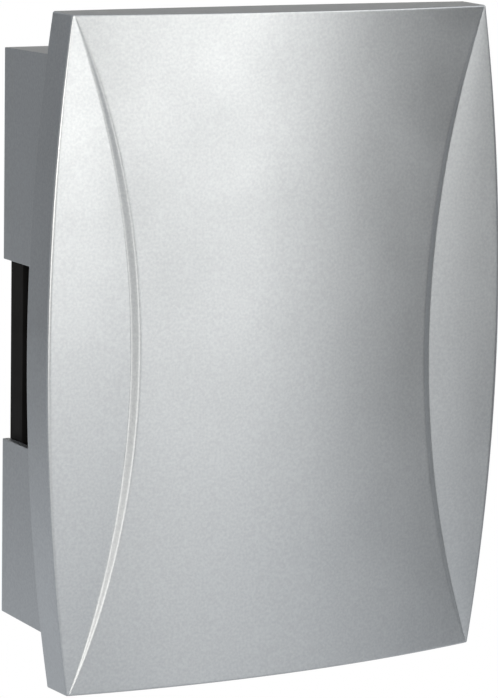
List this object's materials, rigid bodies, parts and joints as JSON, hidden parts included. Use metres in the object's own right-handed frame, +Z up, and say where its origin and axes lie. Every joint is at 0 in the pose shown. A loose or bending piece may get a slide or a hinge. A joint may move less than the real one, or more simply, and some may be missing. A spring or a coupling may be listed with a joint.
{
  "type": "doorbell chime",
  "caption": "Wall-hung ding-dong door chime: a silver cover with a crowned hourglass panel on a notched frame, over a solenoid striker and tone bars.",
  "frame": {"origin": "on the wall face, at the middle of the cover's width and height", "axes": "+Z up, +Y into the wall, +X right as seen from the front"},
  "size_m": [0.156, 0.0477, 0.2],
  "materials": {
    "silver_paint": "satin metallic silver paint on moulded plastic",
    "black_plastic": "fine-grained black moulding",
    "zinc": "bright zinc plating",
    "bar_steel": "brushed and nickel plated",
    "yoke_steel": "zinc-plated sheet",
    "core_steel": "turned steel",
    "spring_steel": "drawn spring wire",
    "rubber": "matt black rubber",
    "former_plastic": "natural nylon",
    "white_nylon": "white nylon",
    "copper": "enamelled copper wire",
    "amber_tape": "amber film tape",
    "brass": "plain brass",
    "block_plastic": "white moulding",
    "red_insulation": "smooth insulation",
    "blue_insulation": "smooth insulation"
  },
  "bodies": {
    "base": {"rear_frame": "silver_paint", "back_plate": "black_plastic", "frame_screws": "zinc", "tone_bar_low": "bar_steel", "tone_bar_high": "bar_steel", "bar_grommets": "rubber", "bar_pins": "zinc", "coil_yoke": "yoke_steel", "yoke_screws": "zinc", "coil_bobbin": "former_plastic", "coil_winding": "copper", "coil_tape": "amber_tape", "coil_tags": "brass", "plunger_tube": "brass", "return_spring": "spring_steel", "terminal_block": "block_plastic", "terminal_tubes": "brass", "terminal_screws": "zinc", "terminal_fixing_screw": "zinc", "coil_lead_left": "red_insulation", "coil_lead_right": "blue_insulation"},
    "plunger": {"plunger_core": "core_steel", "striker_left": "white_nylon", "striker_right": "white_nylon", "spring_collar": "white_nylon"},
    "cover": {"front_cover": "silver_paint"}
  },
  "joints": [
    {"name": "plunger_stroke", "type": "slide", "parent": "base", "child": "plunger", "axis": [1, 0, 0], "range_m": [-0.003, 0.009], "stiffness_N_per_m": 60, "deforming": ["return_spring"]},
    {"name": "cover_pull", "type": "slide", "parent": "base", "child": "cover", "axis": [0, -1, 0], "range_m": [0, 0.08]}
  ]
}
